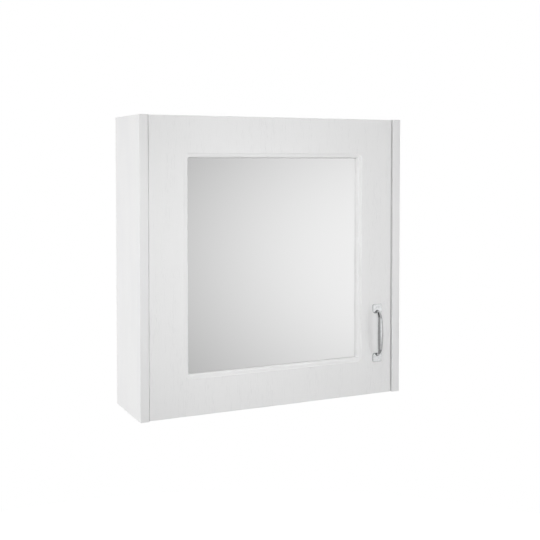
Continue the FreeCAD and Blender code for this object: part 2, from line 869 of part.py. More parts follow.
def hinge_cup():
    """The cup sunk in the door, with a flange on the door's back and two pin bosses."""
    axis_floor = Vector(cup_axis_u, cup_floor_v - cup_floor, 0)
    axis_inside = Vector(cup_axis_u, cup_floor_v, 0)
    axis_mouth = Vector(cup_axis_u, 0, 0)
    axis_flange = Vector(cup_axis_u, cup_flange_thickness, 0)
    flange = rod(axis_mouth, axis_flange, cup_flange_radius)
    ears_u = cup_axis_u + cup_screw_offset
    ears = box(
        (ears_u - cup_ear_radius, ears_u + cup_ear_radius),
        (0, cup_flange_thickness),
        (-cup_screw_spacing / 2, cup_screw_spacing / 2),
    )
    rise = Vector(0, cup_flange_thickness, 0)
    tips = [rod(seat, seat + rise, cup_ear_radius) for seat in cup_screw_seats()]
    beyond_edge = box(
        (hinge_gap + cup_flange_to_edge - cup_flange_radius, hinge_gap + cup_flange_to_edge),
        (0, cup_flange_thickness),
        (-cup_flange_radius, cup_flange_radius),
    )
    flange = flange.fuse([ears] + tips).cut(beyond_edge).removeSplitter()
    rim = edges_in_plane(flange, "Y", cup_flange_thickness)
    flange = flange.makeFillet(cup_flange_arris, rim)
    inside = rod(axis_inside, axis_flange, cup_radius - cup_wall)
    cup = rod(axis_floor, axis_mouth, cup_radius).fuse(flange).cut(inside)
    boss_start = claw_width / 2 + 2 * claw_side_play
    bosses = []
    for sign in (-1, 1):
        block = box(
            (pivot_u - cup_radius, pivot_u + boss_half_width),
            (cup_floor_v, pivot_v + boss_half_width),
            (sign * boss_start, sign * (boss_start + boss_length)),
        )
        bosses.append(block.common(inside))
    low = Vector(pivot_u, pivot_v, -pin_half_length())
    high = Vector(pivot_u, pivot_v, pin_half_length())
    cuts = [rod(low, high, pin_radius + pin_play)]
    for seat in cup_screw_seats():
        cuts.append(rod(seat, seat + rise, cup_screw_radius + fitting_play))
    return cup.fuse(bosses).cut(cuts).removeSplitter()


def hinge_pin():
    """The pivot pin between the cup's bosses."""
    low = Vector(pivot_u, pivot_v, -pin_half_length())
    high = Vector(pivot_u, pivot_v, pin_half_length())
    return rod(low, high, pin_radius)


def claw_rivet():
    """A rivet through the arm's nose and the claw, with a head at each side."""
    low = Vector(rivet_u, rivet_v, -channel_outer)
    high = Vector(rivet_u, rivet_v, channel_outer)
    head = Vector(0, 0, rivet_head_height)
    ends = [rod(low - head, low, rivet_head_radius), rod(high, high + head, rivet_head_radius)]
    return rod(low, high, rivet_radius).fuse(ends).removeSplitter()


def hinge_screws(hinge_z):
    """The plate, clamp, adjuster and cup screws of one hinge, in the cabinet's frame."""
    origin = hinge_origin(hinge_z)
    into_room = Vector(1, 0, 0)
    backwards = Vector(0, 1, 0)
    plate = []
    for seat in plate_screw_seats(hinge_z):
        plate.append(pan_screw(
            seat + into_room * plate_thickness,
            into_room,
            plate_screw_radius,
            plate_screw_length + plate_thickness,
            plate_screw_head_radius,
            plate_screw_head_height,
        ))
    clamp = pan_screw(
        origin + Vector(arm_top_u, clamp_screw_line, 0),
        into_room,
        clamp_screw_radius,
        arm_wall + clamp_screw_depth,
        clamp_screw_head_radius,
        clamp_screw_head_height,
    )
    adjuster_top = origin + Vector(arm_top_u + adjuster_stand, adjuster_line, 0)
    adjuster_length = adjuster_stand + arm_wall + clamp_screw_depth
    adjuster = rod(adjuster_top - into_room * adjuster_length, adjuster_top, clamp_screw_radius)
    cup = []
    for seat in cup_screw_seats():
        cup.append(pan_screw(
            origin + seat + backwards * cup_flange_thickness,
            backwards,
            cup_screw_radius,
            cup_screw_length,
            cup_screw_head_radius,
            cup_screw_head_height,
        ))
    return plate, clamp, adjuster, cup


def placed(shape, hinge_z):
    """A hinge piece moved from the hinge's own plan to its height on the cabinet."""
    moved = shape.copy()
    moved.translate(hinge_origin(hinge_z))
    return moved


os.makedirs("parts", exist_ok=True)

save("left_side_panel", side_panel(-1))
save("right_side_panel", side_panel(1))
save("top_panel", deck(deck_top_z, 1))
save("bottom_panel", deck(deck_base_z, -1))
save("back_panel", back_panel())
save("hanging_rail", hanging_rail())
save("lower_shelf", shelf(lower_shelf_z))
save("upper_shelf", shelf(upper_shelf_z))

save("wood_dowels", *[dowel(joint, dowel_radius, 0) for joint in dowel_joints()])
save("cam_bolts", *[cam_bolt(joint) for joint in cam_joints()])
save("cam_locks", *[cam_lock(joint) for joint in cam_joints()])
shelf_pins = [shelf_pin(side, y, z) for side in (-1, 1) for y in peg_rows() for z in shelf_levels()]
save("shelf_pins", *shelf_pins)

save("door_frame", door_frame())
save("mirror_glass", mirror_glass())
save("mirror_backing", mirror_backing())
save("backing_clips", *[backing_clip(place) for place in clip_places()])
clip_screws = []
for place in clip_places():
    clip_screws.append(pan_screw(
        clip_screw_seat(place) + Vector(0, clip_thickness, 0),
        Vector(0, 1, 0),
        clip_screw_radius,
        clip_screw_length,
        clip_screw_head_radius,
        clip_screw_head_height,
    ))
save("backing_clip_screws", *clip_screws)

save("pull_handle", pull_handle())
handle_screws = []
for screw_z in handle_screw_heights():
    handle_screws.append(pan_screw(
        Vector(handle_x, door_back, screw_z),
        Vector(0, 1, 0),
        handle_screw_radius,
        door_thickness + handle_screw_engagement,
        handle_screw_head_radius,
        handle_screw_head_height,
    ))
save("handle_screws", *handle_screws)
buffer_heights = [level + outward * deck_thickness / 2 for level, outward in deck_levels()]
save("door_buffers", *[door_buffer(z) for z in buffer_heights])

hinge_pieces = {
    "hinge_plate": hinge_plate(),
    "hinge_arm": hinge_arm(),
    "hinge_claw": hinge_claw(),
    "hinge_cup": hinge_cup(),
}
for end_name, height in zip(("upper", "lower"), hinge_heights):
    for piece_name, piece in hinge_pieces.items():
        save(end_name + "_" + piece_name, placed(piece, height))
save("hinge_pins", *[placed(hinge_pin(), height) for height in hinge_heights])
save("claw_rivets", *[placed(claw_rivet(), height) for height in hinge_heights])
screw_sets = [hinge_screws(height) for height in hinge_heights]
save("hinge_plate_screws", *[screw for screws in screw_sets for screw in screws[0]])
save("hinge_clamp_screws", *[screws[1] for screws in screw_sets])
save("hinge_adjusters", *[screws[2] for screws in screw_sets])
save("hinge_cup_screws", *[screw for screws in screw_sets for screw in screws[3]])
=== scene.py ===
"""Looks of a mirrored wall cabinet: finishes, a crisp door moulding, turned small parts, and a studio.

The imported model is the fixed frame. Each operator dresses one piece, or one group of like pieces.
All lengths are in metres: +X to the right, -Y out of the front, +Z up, with the wall at Y 0.
"""

import math

import bmesh
import bpy
from mathutils import Matrix, Vector


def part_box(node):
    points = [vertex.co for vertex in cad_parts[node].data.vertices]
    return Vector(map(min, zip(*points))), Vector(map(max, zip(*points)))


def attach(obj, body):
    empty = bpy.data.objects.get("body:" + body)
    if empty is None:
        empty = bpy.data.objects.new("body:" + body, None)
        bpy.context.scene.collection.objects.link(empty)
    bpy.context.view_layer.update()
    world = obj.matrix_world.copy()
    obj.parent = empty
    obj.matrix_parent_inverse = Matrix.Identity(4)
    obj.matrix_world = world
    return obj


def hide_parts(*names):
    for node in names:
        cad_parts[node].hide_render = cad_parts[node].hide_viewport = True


bl_info = {
    "name": "Mirrored wall cabinet",
    "version": (1, 0, 0),
    "blender": (4, 5, 0),
    "location": "View3D > Sidebar > Cabinet",
    "description": "Dresses the cabinet's boards, mirror and fittings and lights them in a studio",
    "category": "Object",
}

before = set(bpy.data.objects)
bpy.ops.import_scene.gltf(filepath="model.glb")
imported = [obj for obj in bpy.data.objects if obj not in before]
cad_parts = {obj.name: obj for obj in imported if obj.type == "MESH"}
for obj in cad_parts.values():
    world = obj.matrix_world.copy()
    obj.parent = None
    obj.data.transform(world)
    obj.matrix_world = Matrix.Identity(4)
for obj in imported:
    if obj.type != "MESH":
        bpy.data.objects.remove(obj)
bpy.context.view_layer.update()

# The frame's bodies, its outer boards and its two hinges
CARCASS = "carcass"
DOOR = "door"
BOARDS = ("left_side_panel", "right_side_panel", "top_panel", "bottom_panel")
HINGES = ("upper", "lower")
HINGE_PARTS = ("plate", "arm", "claw", "cup")

# The way that a small turned piece faces
RIGHTWARD = Vector((1.0, 0.0, 0.0))
BACKWARD = Vector((0.0, 1.0, 0.0))

# Body, facing, head height, and shank radius as a share of the head's
SCREWS = {
    "hinge_plate_screws": (CARCASS, RIGHTWARD, 0.0013, 0.62),
    "hinge_clamp_screws": (CARCASS, RIGHTWARD, 0.0022, 0.47),
    "hinge_adjusters": (CARCASS, RIGHTWARD, 0.0008, 1.0),
    "hinge_cup_screws": (DOOR, BACKWARD, 0.0015, 0.48),
    "backing_clip_screws": (DOOR, BACKWARD, 0.0014, 0.5),
    "handle_screws": (DOOR, BACKWARD, 0.0022, 0.48),
}

# Half outlines from the top down, in shares of the radius and the height
PAN_HEAD = (
    (0.0, 0.0), (0.35, -0.03), (0.62, -0.12), (0.82, -0.3), (0.95, -0.58), (1.0, -0.85), (0.97, -1.0),
)
BUFFER_DOME = (
    (0.0, 0.0), (0.34, -0.06), (0.64, -0.24), (0.86, -0.5), (0.97, -0.75), (1.0, -0.9), (0.97, -1.0),
)

# Points this near to a plane count as lying on it, and this near to each other as one
FACE_MARGIN = 0.0003
MERGE_DISTANCE = 1e-6

# Steps round a turned piece, and the angle from which an edge is sharp
SPIN_STEPS = 24
SHARP_ANGLE = math.radians(35.0)

# Faces at least this broad stay flat where they meet a rounding
FLAT_WIDTH = 0.003
FLAT_ANGLE = math.radians(0.5)

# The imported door's face up to its moulding, and the moulding from there inwards
STILE_FACE = 0.074
QUIRK_DEPTH = 0.0012
QUIRK_LEDGE = 0.0015
MOULDING_RADIUS = 0.0075
MOULDING_CORNER = 0.0117

# Depths of the boards' bare rear edges: at the wall, or none
AT_WALL = 0.0
NO_BARE_EDGE = 1.0

# Sizes of patterns along X, Y and Z
FOIL_CLOUDS = (0.05, 0.05, 0.22)
BOARD_CLOUDS = (0.06, 0.06, 0.2)
LACQUER_CLOUDS = (0.07,) * 3
LACQUER_PEEL = (0.002,) * 3
FIBRES = (0.0016,) * 3
FIBRE_CLOUDS = (0.03,) * 3
MIRROR_HAZE = (0.09,) * 3
METAL_STAINS = (0.006,) * 3
BEECH_FLECKS = (0.006, 0.0006, 0.0006)
MOULDED_CLOUDS = (0.008,) * 3

# Length of the grain's bands over their width, and size of dust over a chip's
BAND_STRETCH = 16
DUST_SHARE = 0.2

# Levels of a pattern between which its effect comes in
PORE_LEVELS = (0.52, 0.70)
BAND_LEVELS = (0.40, 0.62)
FLECK_LEVELS = (0.4, 0.7)
PRINT_LEVELS = (0.2, 0.9)
METAL_LEVELS = (0.7, 1.3)
MIDDLE_LEVELS = (0.3, 0.7)
UPPER_LEVELS = (0.35, 0.75)
BROAD_LEVELS = (0.3, 0.8)
WIDE_LEVELS = (0.2, 0.8)

# How strongly a pattern shows, from its weakest to its strongest place
FOIL_BANDS = (0.15, 1.0)
BOARD_BANDS = (0.0, 0.5)
DUST_RANGE = (0.6, 1.2)
FIBRE_RANGE = (0.6, 1.0)

# Shares of the grain's colour and depth, and of a colour in its darker clouds
FOIL_GRAIN = 0.55
BOARD_GRAIN = 0.35
BOARD_PORE_DEPTH = 0.6
STAIN_SHADE = 0.88
CLOUD_SHADE = 0.94

# Roughness from the smoothest place to the roughest
FOIL_ROUGHNESS = (0.36, 0.42)
BOARD_ROUGHNESS = (0.38, 0.44)
LACQUER_ROUGHNESS = (0.42, 0.5)
HARDBOARD_ROUGHNESS = (0.55, 0.8)
SILVER_ROUGHNESS = (0.004, 0.014)
BEECH_ROUGHNESS = (0.55, 0.75)
CHROME_ROUGHNESS = (0.04, 0.09)
NICKEL_ROUGHNESS = (0.16, 0.3)
ZINC_ROUGHNESS = (0.24, 0.42)
CASTING_ROUGHNESS = (0.38, 0.55)
PLASTIC_ROUGHNESS = (0.38, 0.5)
RUBBER_ROUGHNESS = (0.35, 0.5)

# Roughness added in pores, on bare edges and rears, and on the mirror's painted back and its rim of painted
# shade
PORE_ROUGHNESS = 0.12
EDGE_ROUGHNESS = 0.45
REAR_ROUGHNESS = 0.35
DULL_ROUGHNESS = 0.4

# Sizes of scratches and sparks, and the depths of fine reliefs
CHROME_SCRATCH = (0.0008,) * 3
NICKEL_SCRATCH = (0.0004, 0.004, 0.0004)
ZINC_SCRATCH = (0.0005,) * 3
CASTING_SCRATCH = (0.0006,) * 3
PLASTIC_SPARK = (0.0003,) * 3
RUBBER_SPARK = (0.0005,) * 3
CHROME_DEPTH = 0.000001
PLATING_DEPTH = 0.000004
CASTING_DEPTH = 0.00001
PLASTIC_DEPTH = 0.000006
RUBBER_DEPTH = 0.000004
PRINT_DEPTH = 0.00012
PEEL_DEPTH = 0.00001
FIBRE_DEPTH = 0.00003
FLECK_DEPTH = 0.00004

# The studio's floor and the camera's sensor
FLOOR_SEGMENTS = 96
FLOOR_ROUGHNESS = 0.9
SENSOR_WIDTH = 36.0

# Rays with fewer matt bounces than this have met only metal and glass
FIRST_BOUNCE = 0.5


def colour_property(name, description, value):
    """A colour that a user can change."""
    return bpy.props.FloatVectorProperty(
        name=name, description=description, subtype="COLOR", size=3, min=0.0, max=1.0, default=value
    )


def length_property(name, description, value):
    """A length that a user can change."""
    return bpy.props.FloatProperty(
        name=name, description=description, subtype="DISTANCE", unit="LENGTH",
        min=0.0, precision=5, default=value,
    )


def share_property(name, description, value):
    """A plain share or strength that a user can change."""
    return bpy.props.FloatProperty(name=name, description=description, min=0.0, default=value)


def angle_property(name, description, degrees):
    """An angle that a user can change."""
    return bpy.props.FloatProperty(
        name=name, description=description, subtype="ANGLE", unit="ROTATION", default=math.radians(degrees)
    )


class CabinetColours(bpy.types.PropertyGroup):
    """Colours of the cabinet's finishes."""

    foil: colour_property("Foil", "White foil on the door", (0.80, 0.80, 0.80))
    foil_pore: colour_property("Foil pores", "Foil at the bottom of its grain", (0.70, 0.70, 0.705))
    board: colour_property("Board", "White board of the carcass", (0.80, 0.80, 0.80))
    board_shade: colour_property("Board shade", "Slightly darker clouds in the board", (0.77, 0.77, 0.775))
    hardboard: colour_property("Hardboard", "White lacquer on the back board", (0.78, 0.78, 0.77))
    fibre: colour_property("Fibre", "Bare hardboard", (0.19, 0.105, 0.052))
    fibre_light: colour_property("Light fibre", "Pale fibres in bare hardboard", (0.30, 0.18, 0.095))
    chip: colour_property("Chip", "Bare chipboard", (0.46, 0.31, 0.18))
    chip_dark: colour_property("Dark chip", "Dark chips in bare chipboard", (0.22, 0.13, 0.07))
    silver: colour_property("Silver", "Silvering of the mirror", (0.925, 0.925, 0.925))
    # Painted shade: a grey for the mirror's top and bottom rim, in place of the shade under the frame's lip
    seam: colour_property("Seam", "Unsilvered rim of the mirror at the frame", (0.52, 0.52, 0.52))
    mirror_paint: colour_property("Mirror paint", "Paint on the mirror's back", (0.24, 0.27, 0.29))
    chrome: colour_property("Chrome", "Bright chrome of the pull", (0.82, 0.83, 0.84))
    nickel: colour_property("Nickel", "Nickel plating of the hinges", (0.66, 0.64, 0.61))
    zinc: colour_property("Zinc", "Zinc plating of the screws", (0.60, 0.61, 0.62))
    casting: colour_property("Casting", "Bare die casting of the cams", (0.48, 0.49, 0.50))
    beech: colour_property("Beech", "Pale wood of the dowels", (0.56, 0.37, 0.21))
    beech_dark: colour_property("Dark beech", "Flecks in the dowels", (0.40, 0.24, 0.12))
    plastic: colour_property("Plastic", "White plastic of the backing clips", (0.78, 0.78, 0.76))
    rubber: colour_property("Rubber", "Pale soft rubber of the buffers", (0.62, 0.63, 0.63))


class CabinetSizes(bpy.types.PropertyGroup):
    """Sizes of the door's moulding, the mirror's rim of painted shade, the patterns and the small turned
    parts.
    """

    quirk_lean: length_property("Quirk lean", "How far the moulding's outer step leans in", 0.0007)
    ledge_fall: length_property("Ledge fall", "How far the moulding's ledge sinks inwards", 0.0006)
    lip_inset: length_property("Lip inset", "From the moulding's outer line to its inner wall", 0.0087)
    lip_width: length_property("Lip width", "Width of the rounding from the ledge to the mirror", 0.0032)
    lip_height: length_property("Lip height", "Height of the rounding from the ledge to the mirror", 0.0048)
    lip_corner: length_property("Lip corner", "Radius of the corners round the mirror", 0.0027)
    # Widths of the band of painted shade along the mirror's top and bottom edges
    rim_shade_above: length_property("Upper seam", "Width of the mirror's unsilvered rim at its top", 0.0016)
    rim_shade_below: length_property("Lower seam", "Width of the mirror's unsilvered rim at its bottom", 0.001)
    pore_width: length_property("Pore width", "Width of one pore of the grain", 0.0009)
    pore_length: length_property("Pore length", "Length of one pore of the grain", 0.016)
    pore_depth: length_property("Pore depth", "Depth of the grain", 0.00007)
    moulded_grain: share_property("Moulded grain", "Share of the grain left on the moulding", 0.15)
    ring_width: length_property("Ring width", "Spacing of the grain's bands", 0.011)
    pearl: length_property("Pearl", "Size of the board's fine pebble texture", 0.0011)
    pearl_depth: length_property("Pearl depth", "Depth of the board's pebble texture", 0.000012)
    chip_size: length_property("Chip size", "Size of the chips in bare chipboard", 0.0022)
    screen_pitch: length_property("Screen pitch", "Mesh print on the bare side of hardboard", 0.0016)
    recess_span: share_property("Recess span", "Cross recess across a screw head, in head radii", 1.15)
    recess_width: share_property("Recess width", "Width of a recess wing, in head radii", 0.26)
    recess_depth: share_property("Recess depth", "Depth of the recess, in head heights", 0.7)


class CabinetStudio(bpy.types.PropertyGroup):
    """Camera, floor and surroundings."""

    camera_place: bpy.props.FloatVectorProperty(
        name="Camera place", description="Where the camera stands", subtype="TRANSLATION", size=3,
        default=(-0.82889, -1.87638, -0.03521),
    )
    camera_yaw: angle_property("Camera yaw", "Turn of the camera to the right", 25.289)
    camera_tilt: angle_property("Camera tilt", "Dip of the camera below level", 2.0)
    camera_lens: bpy.props.FloatProperty(
        name="Lens", description="Focal length on a 36 mm sensor", subtype="DISTANCE_CAMERA", default=61.529
    )
    camera_shift: bpy.props.FloatProperty(
        name="Shift", description="Lens shift down, in frame widths", default=-0.13956
    )
    floor_drop: length_property("Floor drop", "Floor below the wall screws", 1.85)
    floor_radius: length_property("Floor radius", "Radius of the pale floor", 3.0)
    floor_shade: share_property("Floor shade", "Grey of the pale floor", 0.8)
    floor_glow: share_property("Floor glow", "Brightness added to the floor that the camera sees", 0.7)
    floor_mirrored: share_property("Mirrored floor", "Share of the floor's light in mirrors and metal", 0.2)
    light_above: share_property("Light from above", "Strength of the soft light straight above", 0.6)
    light_below: share_property("Light from below", "Strength of the soft light straight below", 1.0)
    light_left: share_property("Light from the left", "Strength of the soft light at the left", 0.36)
    glow_azimuth: angle_property("Glow azimuth", "Brightest part of the room, right of the front", 35.84)
    glow_dip: angle_property("Glow dip", "Brightest part of the room, below level", 5.68)
    glow_core: angle_property("Glow core", "Radius of the brightest part", 4.47)
    glow_reach: angle_property("Glow reach", "Radius at which the glow ends", 29.39)
    glow_flatness: share_property("Glow flatness", "Width of the glow over its height", 1.522)
    glow_peak: share_property("Glow peak", "Brightness of the brightest part", 0.927)
    glow_rim: share_property("Glow rim", "Brightness that the glow falls towards at its reach", 0.285)
    room_level: share_property("Room level", "Brightness of the rest of the room in mirrors and metal", 0.5)
    passed_on: share_property("Passed on", "Light from the front that metal and glass pass on", 2.25)
    shade_level: share_property("Shade level", "Brightness of the room's shaded left side", 0.05)
    shade_low: share_property("Low shade level", "Brightness of the shaded side below eye level", 0.22)
    shade_band: share_property("Shade band", "Brightness of the shaded side's band at eye level", 0.33)
    band_edge: angle_property("Band edge", "Height of the band at eye level before it fades", 12.0)
    band_end: angle_property("Band end", "Height at which the band at eye level has faded", 30.0)
    shade_left: angle_property("Shade left end", "Left end of the shaded side, from the front", -100.0)
    shade_right: angle_property("Shade right end", "Right end of the shaded side, from the front", 2.0)
    shade_blur: angle_property("Shade blur", "Width of the shaded side's soft ends", 12.0)


class Finish:
    """A procedural material under way, with short calls for its nodes."""

    def __init__(self, name, constants):
        self.material = bpy.data.materials.new(name)
        self.material.use_nodes = True
        self.tree = self.material.node_tree
        self.shader = self.tree.nodes["Principled BSDF"]
        for socket, value in constants.items():
            self.shader.inputs[socket].default_value = value

    def node(self, kind, options, inputs):
        """A node with its options, whose inputs are values or other nodes' outputs."""
        made = self.tree.nodes.new(kind)
        for key, value in options.items():
            setattr(made, key, value)
        for key, value in inputs.items():
            if isinstance(value, bpy.types.NodeSocket):
                self.tree.links.new(value, made.inputs[key])
            else:
                made.inputs[key].default_value = value
        return made

    def place(self, size):
        """Object coordinates counted in cells of that size along each axis."""
        coords = self.node("ShaderNodeTexCoord", {}, {})
        inputs = {"Vector": coords.outputs["Object"], "Scale": tuple(1.0 / side for side in size)}
        return self.node("ShaderNodeMapping", {}, inputs).outputs[0]

    def axis(self, name):
        """One object coordinate."""
        coords = self.node("ShaderNodeTexCoord", {}, {})
        return self.node("ShaderNodeSeparateXYZ", {}, {"Vector": coords.outputs["Object"]}).outputs[name]

    def noise(self, vector, detail, distortion=0.0):
        """Soft noise, about one swell per cell."""
        inputs = {"Vector": vector, "Scale": 1.0, "Detail": detail, "Distortion": distortion}
        return self.node("ShaderNodeTexNoise", {}, inputs).outputs[0]

    def cells(self, vector, output):
        """Random cells, about one per cell of the coordinates."""
        return self.node("ShaderNodeTexVoronoi", {}, {"Vector": vector, "Scale": 1.0}).outputs[output]

    def span(self, value, low, high, low_out=0.0, high_out=1.0):
        """A smooth climb from one output to another as the value goes from low to high."""
        inputs = {0: value, 1: low, 2: high, 3: low_out, 4: high_out}
        return self.node("ShaderNodeMapRange", {"interpolation_type": "SMOOTHSTEP"}, inputs).outputs[0]

    def calc(self, operation, first, second):
        """Two values put together by one operation."""
        return self.node("ShaderNodeMath", {"operation": operation}, {0: first, 1: second}).outputs[0]

    def mix(self, share, first, second):
        """A value between two, by a share."""
        return self.node("ShaderNodeMix", {}, {0: share, 2: first, 3: second}).outputs[0]

    def tone(self, share, first, second):
        """A colour between two, by a share."""
        colours = [c if isinstance(c, bpy.types.NodeSocket) else (*c, 1.0) for c in (first, second)]
        inputs = {0: share, 6: colours[0], 7: colours[1]}
        return self.node("ShaderNodeMix", {"data_type": "RGBA"}, inputs).outputs[2]

    def relief(self, height, depth, under=None):
        """A bump whose height goes from 0 to 1 over that depth, on top of another."""
        inputs = {"Height": height, "Distance": depth, "Strength": 1.0}
        if under is not None:
            inputs["Normal"] = under
        return self.node("ShaderNodeBump", {}, inputs).outputs[0]

    def set(self, **sockets):
        """Feed the shader's sockets, named with _ for a space."""
        for key, value in sockets.items():
            self.tree.links.new(value, self.shader.inputs[key.replace("_", " ").title()])
        return self.material


def settings():
    """The colours and sizes now set on the scene."""
    scene = bpy.context.scene
    return scene.cabinet_colours, scene.cabinet_sizes


def wood_pores(made, sizes, strength):
    """Upright pores, from 0 to 1, that gather in weaker and stronger bands as in ash."""
    across = sizes.pore_width
    pores = made.noise(made.place((across, across, sizes.pore_length)), detail=2.0)
    ring = sizes.ring_width
    bands = made.noise(made.place((ring, ring, ring * BAND_STRETCH)), detail=3.0, distortion=0.6)
    gathered = made.span(bands, *BAND_LEVELS, *strength)
    return made.calc("MULTIPLY", made.span(pores, *PORE_LEVELS), gathered)


def foil_finish(front):
    """Satin white foil for the door, with upright grain that fades below its front."""
    colours, sizes = settings()
    made = Finish("white_foil", {"IOR": 1.45})
    fade = (front + FACE_MARGIN, front + 3 * FACE_MARGIN)
    kept = made.span(made.axis("Y"), *fade, 1.0, sizes.moulded_grain)
    pores = made.calc("MULTIPLY", wood_pores(made, sizes, FOIL_BANDS), kept)
    clouds = made.noise(made.place(FOIL_CLOUDS), detail=2.0)
    colour = made.tone(made.calc("MULTIPLY", pores, FOIL_GRAIN), colours.foil, colours.foil_pore)
    even = made.span(clouds, *MIDDLE_LEVELS, *FOIL_ROUGHNESS)
    rough = made.calc("ADD", even, made.calc("MULTIPLY", pores, PORE_ROUGHNESS))
    normal = made.relief(made.calc("SUBTRACT", 1.0, pores), sizes.pore_depth)
    return made.set(base_color=colour, roughness=rough, normal=normal)


def bare_chip(made, colours, sizes):
    """The colour of chipboard where it is cut."""
    chips = made.cells(made.place((sizes.chip_size,) * 3), "Color")
    dust = made.noise(made.place((sizes.chip_size * DUST_SHARE,) * 3), detail=3.0)
    share = made.calc("MULTIPLY", chips, made.span(dust, *MIDDLE_LEVELS, *DUST_RANGE))
    return made.tone(share, colours.chip_dark, colours.chip)


def board_finish(name, rear):
    """White faced chipboard whose rear edge, at that depth, is bare."""
    colours, sizes = settings()
    made = Finish(name, {"IOR": 1.45})
    pearl = made.noise(made.place((sizes.pearl,) * 3), detail=2.0)
    clouds = made.noise(made.place(BOARD_CLOUDS), detail=2.0)
    pores = wood_pores(made, sizes, BOARD_BANDS)
    white = made.tone(made.span(clouds, *UPPER_LEVELS), colours.board, colours.board_shade)
    grained = made.tone(made.calc("MULTIPLY", pores, BOARD_GRAIN), white, colours.foil_pore)
    cut = made.span(made.axis("Y"), rear - FACE_MARGIN, rear - FACE_MARGIN / 2)
    colour = made.tone(cut, grained, bare_chip(made, colours, sizes))
    even = made.span(clouds, *MIDDLE_LEVELS, *BOARD_ROUGHNESS)
    rough = made.calc("ADD", even, made.calc("MULTIPLY", cut, EDGE_ROUGHNESS))
    pebble = made.relief(pearl, sizes.pearl_depth)
    normal = made.relief(made.calc("SUBTRACT", 1.0, pores), sizes.pore_depth * BOARD_PORE_DEPTH, pebble)
    return made.set(base_color=colour, roughness=rough, normal=normal)


def bare_fibre(made, colours):
    """Pale fibres lying every way, and the colour that they give bare hardboard."""
    fibre = made.noise(made.place(FIBRES), detail=5.0, distortion=1.5)
    cloud = made.noise(made.place(FIBRE_CLOUDS), detail=3.0)
    strength = made.span(cloud, *WIDE_LEVELS, *FIBRE_RANGE)
    share = made.calc("MULTIPLY", made.span(fibre, *UPPER_LEVELS), strength)
    return fibre, made.tone(share, colours.fibre, colours.fibre_light)


def back_board_finish(front):
    """Hardboard with white lacquer on its front and a printed mesh on its bare rear."""
    colours, sizes = settings()
    made = Finish("white_hardboard", {"IOR": 1.45})
    brown = bare_fibre(made, colours)[1]
    peel = made.noise(made.place(LACQUER_PEEL), detail=2.0)
    clouds = made.noise(made.place(LACQUER_CLOUDS), detail=2.0)
    white = made.tone(made.span(clouds, *BROAD_LEVELS), colours.hardboard, colours.board_shade)
    bare = made.span(made.axis("Y"), front + FACE_MARGIN, front + 2 * FACE_MARGIN)
    colour = made.tone(bare, white, brown)
    even = made.span(peel, *MIDDLE_LEVELS, *LACQUER_ROUGHNESS)
    rough = made.calc("ADD", even, made.calc("MULTIPLY", bare, REAR_ROUGHNESS))
    waves = math.tau / sizes.screen_pitch
    print_x = made.calc("SINE", made.calc("MULTIPLY", made.axis("X"), waves), 0.0)
    print_z = made.calc("SINE", made.calc("MULTIPLY", made.axis("Z"), waves), 0.0)
    mesh = made.span(made.calc("MAXIMUM", print_x, print_z), *PRINT_LEVELS)
    printed = made.relief(made.calc("MULTIPLY", mesh, bare), PRINT_DEPTH)
    normal = made.relief(peel, PEEL_DEPTH, printed)
    return made.set(base_color=colour, roughness=rough, normal=normal)


def backing_finish():
    """Bare brown hardboard."""
    made = Finish("brown_hardboard", {"IOR": 1.4})
    fibre, brown = bare_fibre(made, settings()[0])
    rough = made.span(fibre, *MIDDLE_LEVELS, *HARDBOARD_ROUGHNESS)
    return made.set(base_color=brown, roughness=rough, normal=made.relief(fibre, FIBRE_DEPTH))


def painted_rim_shade(made, sizes):
    """1 on the band of painted shade along the mirror's top and bottom edges, else 0."""
    low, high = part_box("door_frame")
    rim = STILE_FACE + sizes.lip_inset
    height = made.axis("Z")
    above = made.calc("GREATER_THAN", height, high.z - rim - sizes.rim_shade_above)
    below = made.calc("LESS_THAN", height, low.z + rim + sizes.rim_shade_below)
    return made.calc("MAXIMUM", above, below)


def mirror_finish(front):
    """Silvered glass: bright on its front, with a band of painted shade along its top and bottom edges, and
    paint on its back.
    """
    colours, sizes = settings()
    made = Finish("mirror", {"IOR": 1.52})
    painted = made.span(made.axis("Y"), front + FACE_MARGIN, front + 2 * FACE_MARGIN)
    haze = made.noise(made.place(MIRROR_HAZE), detail=2.0)
    # Painted shade: the mirror's top and bottom rim is a dull dark grey, not silver, for the shade under
    # the frame's lip
    seam = painted_rim_shade(made, sizes)
    back_paint_or_rim_shade = made.calc("MAXIMUM", painted, seam)
    colour = made.tone(painted, made.tone(seam, colours.silver, colours.seam), colours.mirror_paint)
    metal = made.calc("SUBTRACT", 1.0, back_paint_or_rim_shade)
    bright = made.span(haze, *BROAD_LEVELS, *SILVER_ROUGHNESS)
    rough = made.calc("ADD", bright, made.calc("MULTIPLY", back_paint_or_rim_shade, DULL_ROUGHNESS))
    return made.set(base_color=colour, metallic=metal, roughness=rough)


def metal_finish(name, colour, roughness, scratch, depth):
    """Plated or bare metal, whose roughness wanders between two values over fine scratches."""
    made = Finish(name, {"Metallic": 1.0})
    lines = made.noise(made.place(scratch), detail=3.0)
    stain = made.noise(made.place(METAL_STAINS), detail=3.0)
    darker = tuple(c * STAIN_SHADE for c in colour)
    shade = made.tone(made.span(stain, *UPPER_LEVELS), colour, darker)
    wander = made.span(made.calc("ADD", stain, lines), *METAL_LEVELS, *roughness)
    return made.set(base_color=shade, roughness=wander, normal=made.relief(lines, depth))


def beech_finish():
    """Pale wood with short flecks, for the dowels."""
    colours = settings()[0]
    made = Finish("beech", {"IOR": 1.4})
    flecks = made.noise(made.place(BEECH_FLECKS), detail=3.0)
    colour = made.tone(made.span(flecks, *FLECK_LEVELS), colours.beech, colours.beech_dark)
    rough = made.span(flecks, *MIDDLE_LEVELS, *BEECH_ROUGHNESS)
    return made.set(base_color=colour, roughness=rough, normal=made.relief(flecks, FLECK_DEPTH))


